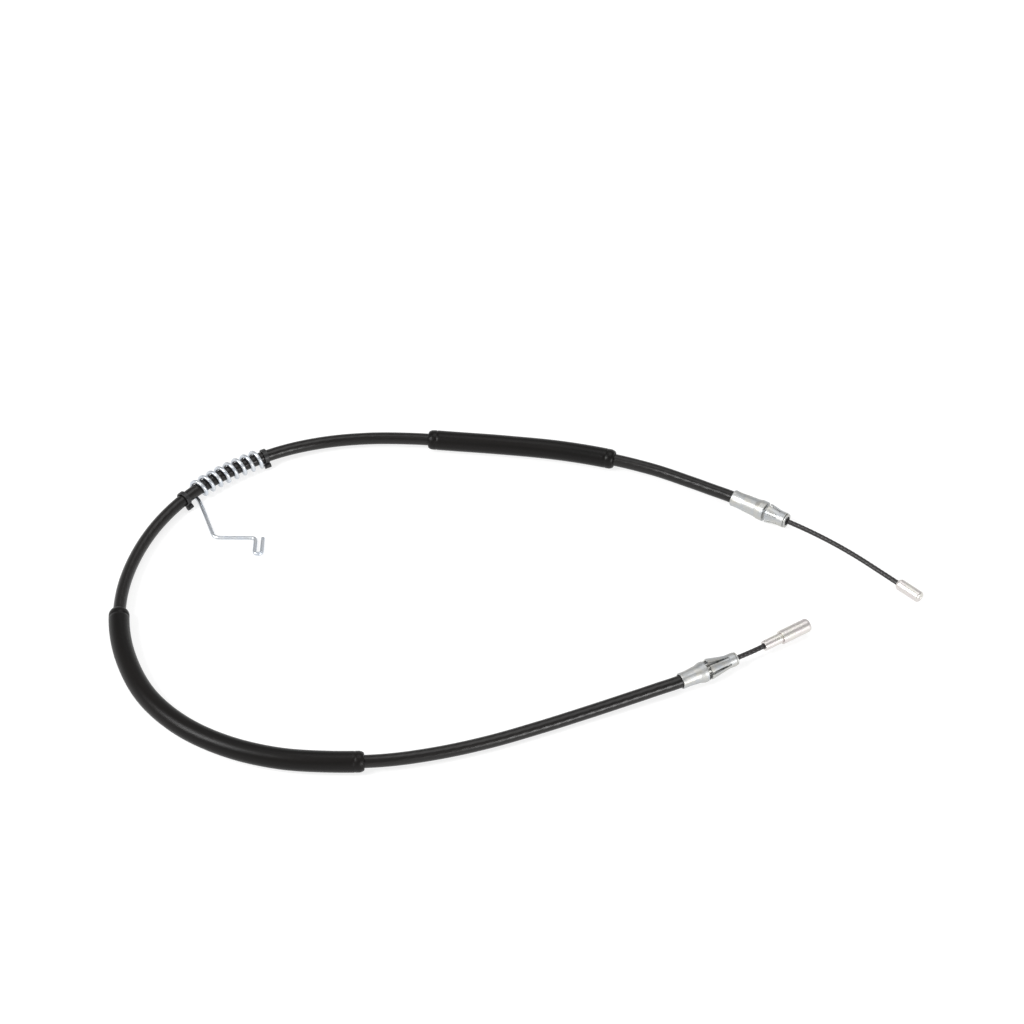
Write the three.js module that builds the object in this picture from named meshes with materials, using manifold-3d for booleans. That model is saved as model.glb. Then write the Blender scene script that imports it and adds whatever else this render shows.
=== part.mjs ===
// Parking brake cable, laid in an open teardrop loop as it rests on a bench.
// Millimetres, +Z up. The origin is the centre of the footprint, on the bench.
// A wire rope slides inside a plastic-covered steel conduit. Each end of the conduit is crimped
// into a zinc-plated ferrule whose spring fingers snap behind a bracket.
import * as THREE from 'three';
import { mergeVertices } from 'three/addons/utils/BufferGeometryUtils.js';
import Module from 'manifold-3d';

// Conduit and the wire rope in it
const ropeRadius = 1.7;
const linerBore = 2.05;
const linerRadius = 2.5;
const armourBore = 2.8;
const armourRadius = 3.25;
const jacketBore = 3.55;
const jacketRadius = 4.25;
const jacketSides = 12;
const innerSides = 8;
const routeStep = 17;
const fitGap = 0.3;

// Protective sleeves, with places measured along the conduit from its front end
const sleeveRadius = 7;
const sleeveWall = 2.2;
const sleeveTaper = 3;
const sleeveEndRadius = 6;
const upperSleeveFrom = 109.4;
const upperSleeveLength = 133.6;
const lowerSleeveFrom = 544.9;
const lowerSleeveLength = 240;

// Guard spring round the conduit, with its hanger leg
const springWireRadius = 1.375;
const springRunningGap = 0.3;
const springFrom = 365.1;
const springLength = 54.6;
const springPitch = 6.8;
const springRopeSides = 8;
const springSteps = 196;
const legFloorGap = 0.05;
const legCorners = [[-222, 92], [-208.7, 56.3], [-180.1, 55.9], [-180.1, 40.8], [-175.1, 40.8], [-175.1, 56]];
const legBendRadii = [3, 5, 3, 2.3, 2.3, 0];

// Tie bands that stop the spring from creeping along the conduit
const tieWidth = 3.2;
const tieThickness = 1.1;
const tieHead = { along: 4.6, across: 3.4, tall: 3.2 };
const tieHeadSink = 0.5;
const tieHeadDrop = THREE.MathUtils.degToRad(-44);
const rearTieGap = 7.4;
const frontTieAt = springFrom - springWireRadius - fitGap - tieWidth / 2;
const rearTieAt = springFrom + springLength + springWireRadius + rearTieGap + tieWidth / 2;

// Ferrules, with how deep the conduit sits in each
const ferruleLength = 42.5;
const crimpLength = 5;
const flareLength = 3.2;
const lipThickness = 1.2;
const lipChamfer = 0.5;
const roundSides = 24;
const frontSizes = {
  insert: 19, crimp: 5.8, barrel: 6.35, shoulder: 7.05, shoulderFrom: 21.5, shoulderTo: 25.5,
  prong: 6.8, neck: 4.2, neckBore: 3.2, nose: 5.3,
};
const rearSizes = {
  insert: 15, crimp: 5.45, barrel: 6, shoulder: 7, shoulderFrom: 16, shoulderTo: 18.5,
  prong: 7, neck: 3.75, neckBore: 2.9, nose: 4.7,
};

// Spring-finger retainers on the ferrule necks
const fingerCount = 6;
const fingerThickness = 0.8;
const fingerSlot = 2;
const fingerTipGap = 2.2;
const retainerBand = 5;
const bandOverlap = 0.6;
const frontFingerRoll = THREE.MathUtils.degToRad(15);
const rearFingerRoll = THREE.MathUtils.degToRad(40);

// Wiper seals in the noses
const wiperGap = 0.45;
const wiperLength = 7;
const wiperProud = 0.4;

// Wire ends that reach out of the ferrules
const stroke = 20;
const ropeEngaged = 5;
const middleRopeGap = 1.5;
const straightPastNose = 6;
const boreGap = 0.3;
const ropeSteps = 22;
const frontReach = 92.5;
const frontArc = 60;
const frontBend = THREE.MathUtils.degToRad(-11.75);
const rearReach = 21.8;
const rearArc = 15.8;
const rearBend = THREE.MathUtils.degToRad(4);

// Front button
const buttonLength = 19;
const buttonRadius = 4;
const buttonCollar = 2.9;
const buttonChamfer = 1.6;
const buttonRound = 1.8;
const buttonBoreDepth = 13.5;

// Rear end fitting
const fittingNeckLength = 14;
const fittingNeckRadius = 3.55;
const fittingLength = 36.5;
const fittingRadius = 4.7;
const fittingChamfer = 0.3;
const fittingRound = 2;
const fittingDimple = 1.2;
const fittingDimpleDepth = 0.6;
const fittingBoreDepth = 24;

// Centreline of the conduit from its front end to its rear end
const routePoints = [
  [166.5, 79.4, 7.1], [156.4, 85.9, 7.1], [148, 91.3, 7.1], [135, 98.2, 7], [121.7, 105.3, 6.9],
  [95.1, 118.4, 6.8], [63.3, 129.3, 7.1], [29.3, 137.4, 7.1], [-5.7, 142.4, 7.1], [-39.7, 146.1, 7.1],
  [-73.6, 149.4, 7], [-107.5, 150.2, 6.4], [-140.3, 145.3, 6.6], [-171.1, 134.1, 7.38], [-200.8, 116.4, 7.38],
  [-227, 93.4, 7.3], [-246.6, 66.1, 6.7], [-259.4, 35.2, 6.5], [-265.6, 1.8, 6.9], [-264.5, -32.2, 7.1],
  [-255.5, -64.9, 7.1], [-239.5, -94.6, 7.1], [-215.2, -118.8, 7.1], [-185.1, -135.7, 7.1],
  [-152.1, -145.4, 7.1], [-118.1, -148.3, 7.1], [-84.5, -147.1, 7], [-51.4, -140.5, 6.1],
  [-18.5, -130.6, 5.4], [14.5, -118.1, 5.2], [46.4, -105.2, 5.5], [78.3, -92.3, 6.5], [91.1, -87, 6.9],
  [103.4, -81.9, 7.1], [112.3, -77.2, 7.1], [119.38, -73.39, 7.1],
];
const route = new THREE.CatmullRomCurve3(
  routePoints.map(([x, y, z]) => new THREE.Vector3(x, y, z)), false, 'catmullrom', 0.5);
route.arcLengthDivisions = 2000;
const routeLength = route.getLength();
const up = new THREE.Vector3(0, 0, 1);

const jacketFinish = new THREE.MeshStandardMaterial({ color: 0x2b2a2c, roughness: 0.5, metalness: 0 });
const sleeveFinish = new THREE.MeshStandardMaterial({ color: 0x1b1918, roughness: 0.45, metalness: 0 });
const tieFinish = new THREE.MeshStandardMaterial({ color: 0x121212, roughness: 0.5, metalness: 0 });
const linerFinish = new THREE.MeshStandardMaterial({ color: 0xe6e4dc, roughness: 0.4, metalness: 0 });
const sealFinish = new THREE.MeshStandardMaterial({ color: 0x161616, roughness: 0.8, metalness: 0 });
const zincFinish = new THREE.MeshStandardMaterial({ color: 0xc6cacc, roughness: 0.32, metalness: 0.9 });
const springFinish = new THREE.MeshStandardMaterial({ color: 0xcfd6dc, roughness: 0.3, metalness: 0.9 });
const steelFinish = new THREE.MeshStandardMaterial({ color: 0x8d9092, roughness: 0.4, metalness: 0.9 });
const ropeFinish = new THREE.MeshStandardMaterial({ color: 0x242123, roughness: 0.45, metalness: 0.1 });
const terminalFinish = new THREE.MeshStandardMaterial({ color: 0xd2cec8, roughness: 0.3, metalness: 0.85 });

function named(name, geometry, material) {
  const mesh = new THREE.Mesh(geometry, material.clone());
  mesh.name = name;
  return mesh;
}

// Point of the route at a distance from its front end
function routePoint(distance) {
  return route.getPointAt(THREE.MathUtils.clamp(distance / routeLength, 0, 1));
}

// Direction of the route there, towards the rear end
function routeTangent(distance) {
  return route.getTangentAt(THREE.MathUtils.clamp(distance / routeLength, 0, 1));
}

// Part of the route. All stretches share the same stations, so tubes inside each other stay parallel.
class Stretch extends THREE.Curve {
  constructor(from, to, extraMarks = []) {
    super();
    const marks = [from, to, ...extraMarks];
    const stations = Math.round(routeLength / routeStep);
    const spacing = routeLength / stations;
    for (let i = 0; i <= stations; i++) {
      const mark = i * spacing;
      const clear = marks.every((other) => Math.abs(other - mark) > spacing / 8);
      if (clear && mark > from && mark < to) {
        marks.push(mark);
      }
    }
    this.marks = marks.sort((a, b) => a - b);
  }

  get steps() {
    return this.marks.length - 1;
  }

  distanceAt(t) {
    const place = t * this.steps;
    const i = Math.min(Math.floor(place + 1e-9), this.steps - 1);
    return THREE.MathUtils.lerp(this.marks[i], this.marks[i + 1], place - i);
  }

  getPoint(t, target = new THREE.Vector3()) {
    return target.copy(routePoint(this.distanceAt(t)));
  }

  getPointAt(t, target) {
    return this.getPoint(t, target);
  }

  getTangentAt(t, target = new THREE.Vector3()) {
    return target.copy(routeTangent(this.distanceAt(t)));
  }
}

function polygon(radius, sides) {
  const corners = [];
  for (let i = 0; i < sides; i++) {
    const angle = (i / sides) * Math.PI * 2;
    corners.push(new THREE.Vector2(radius * Math.cos(angle), radius * Math.sin(angle)));
  }
  return corners;
}

// Solid rod or, with a bore, a tube along a curve
function tubeAlong(curve, steps, radius, sides, bore = 0) {
  const section = new THREE.Shape(polygon(radius, sides));
  if (bore > 0) {
    section.holes.push(new THREE.Path(polygon(bore, sides)));
  }
  return new THREE.ExtrudeGeometry(section, { steps, extrudePath: curve, bevelEnabled: false });
}

function conduitLayer(name, from, to, radius, bore, sides, material) {
  const stretch = new Stretch(from, to);
  return named(name, tubeAlong(stretch, stretch.steps, radius, sides, bore), material);
}

// Sleeve with both ends tapered: the outer corners of its end rings are drawn in
function sleeve(name, from, length) {
  const to = from + length;
  const stretch = new Stretch(from, to, [from + sleeveTaper, to - sleeveTaper]);
  const bore = sleeveRadius - sleeveWall;
  const geometry = tubeAlong(stretch, stretch.steps, sleeveRadius, jacketSides, bore);
  const corners = geometry.attributes.position;
  const middleRadius = (sleeveRadius + bore) / 2;
  const corner = new THREE.Vector3();
  for (const centre of [routePoint(from), routePoint(to)]) {
    for (let i = 0; i < corners.count; i++) {
      corner.fromBufferAttribute(corners, i).sub(centre);
      const distance = corner.length();
      if (distance > middleRadius && distance < sleeveRadius + fitGap / 10) {
        corner.multiplyScalar(sleeveEndRadius / sleeveRadius).add(centre);
        corners.setXYZ(i, corner.x, corner.y, corner.z);
      }
    }
  }
  return named(name, geometry, sleeveFinish);
}

// Fillets the corners of a flat polyline at one height, as a list of points
function bentWire(corners, radii, height, pointsPerBend) {
  const points = [];
  corners.forEach(([x, y], i) => {
    const corner = new THREE.Vector3(x, y, height);
    if (i === 0 || i === corners.length - 1) {
      points.push(corner);
      return;
    }
    const before = new THREE.Vector3(corners[i - 1][0], corners[i - 1][1], height).sub(corner).normalize();
    const after = new THREE.Vector3(corners[i + 1][0], corners[i + 1][1], height).sub(corner).normalize();
    const cut = radii[i] / Math.tan(before.angleTo(after) / 2);
    const bend = new THREE.QuadraticBezierCurve3(
      corner.clone().addScaledVector(before, cut), corner, corner.clone().addScaledVector(after, cut));
    points.push(...bend.getPoints(pointsPerBend));
  });
  return points;
}

// Coil round the conduit that leaves it at the bottom, towards the inside of the loop, as a hanger leg
function guardSpring() {
  const coilRadius = jacketRadius + springRunningGap + springWireRadius;
  const turns = springLength / springPitch;
  const pointsPerTurn = 16;
  const count = Math.round(turns * pointsPerTurn);
  const points = [];
  for (let i = 0; i <= count; i++) {
    const along = i / count;
    const distance = springFrom + along * springLength;
    const angle = -Math.PI / 2 - (1 - along) * turns * Math.PI * 2;
    const inward = new THREE.Vector3().crossVectors(up, routeTangent(distance)).normalize();
    points.push(routePoint(distance)
      .addScaledVector(inward, coilRadius * Math.cos(angle))
      .addScaledVector(up, coilRadius * Math.sin(angle)));
  }
  points.push(...bentWire(legCorners, legBendRadii, springWireRadius + legFloorGap, 5));
  const wire = new THREE.CatmullRomCurve3(points, false, 'centripetal');
  wire.arcLengthDivisions = 3000;
  return named('guard_spring', tubeAlong(wire, springSteps, springWireRadius, springRopeSides), springFinish);
}

const wasm = await Module();
wasm.setup();

function toSolid(geometry) {
  const bare = new THREE.BufferGeometry();
  bare.setAttribute('position', geometry.attributes.position.clone());
  if (geometry.index) {
    bare.setIndex(geometry.index.clone());
  }
  const merged = mergeVertices(bare, 1e-5);
  return new wasm.Manifold(new wasm.Mesh({
    numProp: 3,
    vertProperties: new Float32Array(merged.attributes.position.array),
    triVerts: new Uint32Array(merged.index.array),
  }));
}

function toGeometry(solid) {
  const mesh = solid.getMesh();
  const geometry = new THREE.BufferGeometry();
  geometry.setAttribute('position', new THREE.BufferAttribute(mesh.vertProperties, 3));
  geometry.setIndex(new THREE.BufferAttribute(mesh.triVerts, 1));
  return geometry;
}

// Turned piece about the Y axis; each point is a radius and a place along the axis
function turned(profile, sides = roundSides) {
  return new THREE.LatheGeometry(profile.map(([radius, place]) => new THREE.Vector2(radius, place)), sides);
}

// Group whose Y axis leaves the given point in the given direction
function groupAt(point, direction) {
  const group = new THREE.Group();
  const side = new THREE.Vector3().crossVectors(direction, up).normalize();
  const top = new THREE.Vector3().crossVectors(side, direction);
  group.matrix.makeBasis(side, direction, top).setPosition(point);
  group.matrix.decompose(group.position, group.quaternion, group.scale);
  return group;
}

function tie(name, at) {
  const bore = jacketRadius + fitGap;
  const radius = bore + tieThickness;
  const half = tieWidth / 2;
  const band = turned([[bore, -half], [radius, -half], [radius, half], [bore, half], [bore, -half]]);
  const head = new THREE.BoxGeometry(tieHead.tall, tieHead.along, tieHead.across);
  head.translate(radius - tieHeadSink + tieHead.tall / 2, 0, 0);
  const group = groupAt(routePoint(at), routeTangent(at));
  const mesh = named(name, toGeometry(toSolid(band).add(toSolid(head))), tieFinish);
  mesh.rotation.y = Math.PI + tieHeadDrop;
  group.add(mesh);
  return group;
}

// Ferrule: crimped tube, flared shoulder, neck and a chamfered lip at the nose
function ferrule(name, sizes) {
  const bore = jacketRadius + fitGap;
  const neckEnd = ferruleLength - lipThickness;
  const lip = sizes.nose - fitGap;
  return named(name, turned([
    [bore, 0], [sizes.crimp, 0], [sizes.crimp, crimpLength], [sizes.barrel, sizes.shoulderFrom - flareLength],
    [sizes.shoulder, sizes.shoulderFrom], [sizes.shoulder, sizes.shoulderTo], [sizes.neck, sizes.shoulderTo],
    [sizes.neck, neckEnd], [lip, neckEnd],
    [lip, ferruleLength - lipChamfer], [lip - lipChamfer, ferruleLength], [sizes.neckBore, ferruleLength],
    [sizes.neckBore, sizes.insert + fitGap], [bore, sizes.insert + fitGap], [bore, 0],
  ]), zincFinish);
}

// Retainer: a band on the neck with spring fingers that flare back towards the shoulder
function retainer(name, sizes, roll) {
  const bore = sizes.neck + fitGap;
  const bandTo = ferruleLength - lipThickness - fitGap;
  const bandFrom = bandTo - retainerBand;
  const tip = sizes.shoulderTo + fingerTipGap;
  const tipBore = sizes.prong - fingerThickness;
  let solid = toSolid(turned([
    [bore, bandTo], [bore, bandFrom], [tipBore, tip], [sizes.prong, tip], [sizes.nose, bandFrom],
    [sizes.nose, bandTo], [bore, bandTo],
  ]));
  const slotLength = bandFrom - tip + bandOverlap * 2;
  for (let i = 0; i < fingerCount; i++) {
    const slot = new THREE.BoxGeometry(sizes.shoulder * 2, slotLength, fingerSlot);
    slot.translate(sizes.shoulder, tip - bandOverlap + slotLength / 2, 0);
    slot.rotateY((i / fingerCount) * Math.PI * 2);
    solid = solid.subtract(toSolid(slot));
  }
  const mesh = named(name, toGeometry(solid), zincFinish);
  mesh.rotation.y = roll;
  return mesh;
}

function wiper(name, sizes) {
  const bore = ropeRadius + wiperGap;
  const radius = sizes.neckBore - fitGap;
  const to = ferruleLength + wiperProud;
  const from = to - wiperLength;
  return named(name, turned([[bore, from], [radius, from], [radius, to], [bore, to], [bore, from]]), sealFinish);
}

// Rope from inside the ferrule, straight past the nose and then gently bent, into its end piece
class RopeLine extends THREE.Curve {
  constructor(reach, arc, bend, inserted) {
    super();
    this.start = ferruleLength - stroke - ropeEngaged;
    this.straight = ferruleLength + straightPastNose;
    this.arc = arc;
    this.bend = bend;
    this.end = ferruleLength + reach + inserted;
  }

  // Flat offset and heading at a place along the rope, counted from the ferrule's crimp end
  poseAt(place) {
    const along = THREE.MathUtils.clamp(place - this.straight, 0, this.arc);
    const heading = this.bend * (along / this.arc);
    const radius = this.arc / this.bend;
    const tail = Math.max(place - this.straight - this.arc, 0);
    const forward = radius * Math.sin(heading) + tail * Math.cos(heading);
    const aside = radius * (1 - Math.cos(heading)) + tail * Math.sin(heading);
    const point = new THREE.Vector3(-aside, Math.min(place, this.straight) + forward, 0);
    return { point, direction: new THREE.Vector3(-Math.sin(heading), Math.cos(heading), 0) };
  }

  getPoint(t, target = new THREE.Vector3()) {
    return target.copy(this.poseAt(THREE.MathUtils.lerp(this.start, this.end, t)).point);
  }
}

// Group at the end of a rope, with its Y axis along it
function ropeEnd(line, reach) {
  const { point, direction } = line.poseAt(ferruleLength + reach);
  const group = new THREE.Group();
  group.position.copy(point);
  group.quaternion.setFromUnitVectors(new THREE.Vector3(0, 1, 0), direction);
  return group;
}

function roundedEnd(radius, length, round, steps = 4) {
  const points = [];
  for (let i = 0; i <= steps; i++) {
    const angle = (i / steps) * (Math.PI / 2);
    points.push([radius - round + round * Math.cos(angle), length - round + round * Math.sin(angle)]);
  }
  return points;
}

function button() {
  const bore = ropeRadius + boreGap;
  return named('front_button', turned([
    [0, buttonBoreDepth], [bore, buttonBoreDepth], [bore, 0], [buttonCollar, 0], [buttonRadius, buttonChamfer],
    ...roundedEnd(buttonRadius, buttonLength, buttonRound), [0, buttonLength],
  ]), terminalFinish);
}

function rearFitting() {
  const bore = ropeRadius + boreGap;
  return named('rear_end_fitting', turned([
    [0, fittingBoreDepth], [bore, fittingBoreDepth], [bore, 0], [fittingNeckRadius, 0],
    [fittingNeckRadius, fittingNeckLength], [fittingRadius - fittingChamfer, fittingNeckLength],
    [fittingRadius, fittingNeckLength + fittingChamfer],
    ...roundedEnd(fittingRadius, fittingLength, fittingRound),
    [fittingDimple, fittingLength], [0, fittingLength - fittingDimpleDepth],
  ]), terminalFinish);
}

const cable = new THREE.Group();

cable.add(conduitLayer('conduit_jacket', 0, routeLength, jacketRadius, jacketBore, jacketSides, jacketFinish));
cable.add(conduitLayer('conduit_armour', 0, routeLength, armourRadius, armourBore, innerSides, steelFinish));
cable.add(conduitLayer('conduit_liner', 0, routeLength, linerRadius, linerBore, innerSides, linerFinish));
// The middle rope stops short of where the wire ends reach when they slide in
const ropeClear = middleRopeGap - (ferruleLength - stroke * 2 - ropeEngaged);
const middleFrom = frontSizes.insert + ropeClear;
const middleTo = routeLength - rearSizes.insert - ropeClear;
cable.add(conduitLayer('inner_wire', middleFrom, middleTo, ropeRadius, 0, innerSides, ropeFinish));

cable.add(sleeve('upper_sleeve', upperSleeveFrom, upperSleeveLength));
cable.add(sleeve('lower_sleeve', lowerSleeveFrom, lowerSleeveLength));
cable.add(guardSpring());
cable.add(tie('front_tie_band', frontTieAt));
cable.add(tie('rear_tie_band', rearTieAt));

function cableEnd(prefix, end, sizes, roll, line) {
  const outward = routeTangent(end).multiplyScalar(end === 0 ? -1 : 1);
  const group = groupAt(routePoint(end).addScaledVector(outward, -sizes.insert), outward);
  group.add(ferrule(`${prefix}_ferrule`, sizes));
  group.add(retainer(`${prefix}_prong_retainer`, sizes, roll));
  group.add(wiper(`${prefix}_wiper_seal`, sizes));
  group.add(named(`${prefix}_wire`, tubeAlong(line, ropeSteps, ropeRadius, innerSides), ropeFinish));
  cable.add(group);
  return group;
}

const frontLine = new RopeLine(frontReach, frontArc, frontBend, buttonBoreDepth - boreGap);
const rearLine = new RopeLine(rearReach, rearArc, rearBend, fittingBoreDepth - boreGap);
const frontEnd = cableEnd('front', 0, frontSizes, frontFingerRoll, frontLine);
const rearEnd = cableEnd('rear', routeLength, rearSizes, rearFingerRoll, rearLine);
frontEnd.add(ropeEnd(frontLine, frontReach).add(button()));
rearEnd.add(ropeEnd(rearLine, rearReach).add(rearFitting()));

export default cable;
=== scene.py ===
"""Parking brake cable laid in an open loop on a pale bench. Blender 4.5, metres, +Z up."""
import math

import bmesh
import bpy
import numpy as np
from mathutils import Matrix, Vector, noise


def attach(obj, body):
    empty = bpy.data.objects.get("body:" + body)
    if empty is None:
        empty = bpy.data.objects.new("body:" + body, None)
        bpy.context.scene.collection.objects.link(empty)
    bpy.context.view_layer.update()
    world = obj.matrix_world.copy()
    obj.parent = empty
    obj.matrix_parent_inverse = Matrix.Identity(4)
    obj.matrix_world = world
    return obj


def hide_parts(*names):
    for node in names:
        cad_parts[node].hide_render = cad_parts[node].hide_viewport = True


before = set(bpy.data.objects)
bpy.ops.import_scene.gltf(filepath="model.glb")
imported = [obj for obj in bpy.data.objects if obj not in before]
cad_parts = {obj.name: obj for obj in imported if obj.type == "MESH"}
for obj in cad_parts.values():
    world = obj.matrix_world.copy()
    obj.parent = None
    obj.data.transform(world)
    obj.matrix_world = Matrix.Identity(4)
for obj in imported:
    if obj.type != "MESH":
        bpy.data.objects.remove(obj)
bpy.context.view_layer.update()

MM = 0.001
UP = np.array([0.0, 0.0, 1.0])


# Camera: 45 degrees down, looking along +Y
CAMERA_PLACE = (-0.0036, -1.2552, 1.3379)
CAMERA_TILT = math.radians(45)
CAMERA_LENS = 95.56
CAMERA_SENSOR = 36.0


def add_camera():
    camera = bpy.data.cameras.new("camera")
    camera.lens = CAMERA_LENS
    camera.sensor_width = CAMERA_SENSOR
    camera.clip_end = 50
    holder = bpy.data.objects.new("camera", camera)
    holder.location = CAMERA_PLACE
    holder.rotation_euler = (CAMERA_TILT, 0, 0)
    bpy.context.collection.objects.link(holder)
    bpy.context.scene.camera = holder


add_camera()


# Sizes, in metres
CONDUIT_RADIUS = 4.25 * MM
CONDUIT_BORE = 3.55 * MM
ROPE_RADIUS = 1.7 * MM
ROPE_LAY = 19 * MM
ROPE_STRANDS = 6
ROPE_VALLEY = 0.2 * MM
FIT_GAP = 0.3 * MM

SLEEVE_RADIUS = 7 * MM
SLEEVE_BORE = 4.8 * MM
SLEEVE_END_RADIUS = 6 * MM
SLEEVE_TAPER = 3 * MM
SLEEVE_RIM_AT = 6 * MM
SLEEVE_RIM_DEPTH = 0.16 * MM
UPPER_SLEEVE = (109.4 * MM, 133.6 * MM)
LOWER_SLEEVE = (544.9 * MM, 240 * MM)

SPRING_WIRE_RADIUS = 1.375 * MM
SPRING_RUNNING_GAP = 0.3 * MM
SPRING_FROM = 365.1 * MM
SPRING_LENGTH = 54.6 * MM
SPRING_PITCH = 6.8 * MM
LEG_FLOOR_GAP = 0.05 * MM
LEG_CORNERS = [
    (-0.2220, 0.0920), (-0.2087, 0.0563), (-0.1801, 0.0559),
    (-0.1801, 0.0408), (-0.1751, 0.0408), (-0.1751, 0.0560),
]
LEG_BEND_RADII = [3 * MM, 5 * MM, 3 * MM, 2.3 * MM, 2.3 * MM, 0]

TIE_WIDTH = 3.2 * MM
TIE_THICKNESS = 1.1 * MM
TIE_HEAD_ALONG = 4.6 * MM
TIE_HEAD_ACROSS = 3.4 * MM
TIE_HEAD_TALL = 3.2 * MM
TIE_HEAD_SINK = 0.5 * MM
TIE_HEAD_DROP = math.radians(-44)
REAR_TIE_GAP = 7.4 * MM
FRONT_TIE_AT = SPRING_FROM - SPRING_WIRE_RADIUS - FIT_GAP - TIE_WIDTH / 2
REAR_TIE_AT = SPRING_FROM + SPRING_LENGTH + SPRING_WIRE_RADIUS + REAR_TIE_GAP + TIE_WIDTH / 2

FERRULE_LENGTH = 42.5 * MM
CRIMP_LENGTH = 5 * MM
CRIMP_FLATS = 8
CRIMP_DEPTH = 0.16 * MM
CRIMP_FLATS_FROM = 0.9 * MM
CRIMP_FLATS_TO = 9.5 * MM
CRIMP_FADE = 1.6 * MM
FLARE_LENGTH = 3.2 * MM
LIP_THICKNESS = 1.2 * MM
FRONT_FERRULE = {
    "insert": 19 * MM, "crimp": 5.8 * MM, "barrel": 6.35 * MM, "shoulder": 7.05 * MM,
    "shoulder_from": 21.5 * MM, "shoulder_to": 25.5 * MM, "prong": 6.8 * MM,
    "neck": 4.2 * MM, "bore": 3.2 * MM, "nose": 5.3 * MM,
}
REAR_FERRULE = {
    "insert": 15 * MM, "crimp": 5.45 * MM, "barrel": 6 * MM, "shoulder": 7 * MM,
    "shoulder_from": 16 * MM, "shoulder_to": 18.5 * MM, "prong": 7 * MM,
    "neck": 3.75 * MM, "bore": 2.9 * MM, "nose": 4.7 * MM,
}

FINGER_COUNT = 6
FINGER_THICKNESS = 0.8 * MM
FINGER_SLOT = 2 * MM
FINGER_TIP_GAP = 2.2 * MM
RETAINER_BAND = 5 * MM
FRONT_FINGER_ROLL = math.radians(15)
REAR_FINGER_ROLL = math.radians(40)
REAR_RAISED_FINGER = 3
RAISED_LIFT = 0.8 * MM

WIPER_GAP = 0.45 * MM
WIPER_LENGTH = 7 * MM
WIPER_PROUD = 0.4 * MM

ROPE_START = 17.5 * MM
ROPE_POINT_STEP = 0.4 * MM
STRAIGHT_PAST_NOSE = 6 * MM
FRONT_REACH = 92.5 * MM
FRONT_ARC = 60 * MM
FRONT_BEND = math.radians(-11.75)
REAR_REACH = 21.8 * MM
REAR_ARC = 15.8 * MM
REAR_BEND = math.radians(4)

BUTTON_LENGTH = 19 * MM
BUTTON_RADIUS = 4 * MM
BUTTON_COLLAR = 2.9 * MM
BUTTON_BORE_DEPTH = 13.5 * MM
FITTING_NECK_LENGTH = 14 * MM
FITTING_NECK_RADIUS = 3.55 * MM
FITTING_GROOVE_RADIUS = 3.2 * MM
FITTING_LENGTH = 36.5 * MM
FITTING_RADIUS = 4.7 * MM
FITTING_BORE_DEPTH = 24 * MM
BORE_GAP = 0.3 * MM

# Centreline of the conduit from its front end to its rear end
ROUTE_POINTS = [
    (0.1665, 0.0794, 0.0071), (0.1564, 0.0859, 0.0071), (0.1480, 0.0913, 0.0071),
    (0.1350, 0.0982, 0.007), (0.1217, 0.1053, 0.0069), (0.0951, 0.1184, 0.0068),
    (0.0633, 0.1293, 0.0071), (0.0293, 0.1374, 0.0071), (-0.0057, 0.1424, 0.0071),
    (-0.0397, 0.1461, 0.0071), (-0.0736, 0.1494, 0.007), (-0.1075, 0.1502, 0.0064),
    (-0.1403, 0.1453, 0.0066), (-0.1711, 0.1341, 0.00738), (-0.2008, 0.1164, 0.00738),
    (-0.2270, 0.0934, 0.0073), (-0.2466, 0.0661, 0.0067), (-0.2594, 0.0352, 0.0065),
    (-0.2656, 0.0018, 0.0069), (-0.2645, -0.0322, 0.0071), (-0.2555, -0.0649, 0.0071),
    (-0.2395, -0.0946, 0.0071), (-0.2152, -0.1188, 0.0071), (-0.1851, -0.1357, 0.0071),
    (-0.1521, -0.1454, 0.0071), (-0.1181, -0.1483, 0.0071), (-0.0845, -0.1471, 0.007),
    (-0.0514, -0.1405, 0.0061), (-0.0185, -0.1306, 0.0054), (0.0145, -0.1181, 0.0052),
    (0.0464, -0.1052, 0.0055), (0.0783, -0.0923, 0.0065), (0.0911, -0.0870, 0.0069),
    (0.1034, -0.0819, 0.0071), (0.1123, -0.0772, 0.0071), (0.11938, -0.07339, 0.0071),
]


# Curves

def smooth_line(points, steps, centripetal=False):
    """Dense points of the Catmull-Rom curve through the given points."""
    given = np.array(points, float)
    before = 2 * given[0] - given[1]
    after = 2 * given[-1] - given[-2]
    padded = np.vstack([before, given, after])
    share = np.linspace(0, 1, steps, endpoint=False)[:, None]
    dense = []
    for i in range(1, len(given)):
        p0, p1, p2, p3 = padded[i - 1:i + 3]
        if centripetal:
            d0, d1, d2 = (math.sqrt(np.linalg.norm(b - a)) for a, b in ((p0, p1), (p1, p2), (p2, p3)))
            m1 = ((p1 - p0) / d0 - (p2 - p0) / (d0 + d1) + (p2 - p1) / d1) * d1
            m2 = ((p2 - p1) / d1 - (p3 - p1) / (d1 + d2) + (p3 - p2) / d2) * d1
        else:
            m1 = (p2 - p0) / 2
            m2 = (p3 - p1) / 2
        squared = share * share
        cubed = squared * share
        dense.append(
            (2 * cubed - 3 * squared + 1) * p1 + (cubed - 2 * squared + share) * m1
            + (3 * squared - 2 * cubed) * p2 + (cubed - squared) * m2)
    dense.append(given[-1:])
    return np.vstack(dense)


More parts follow.
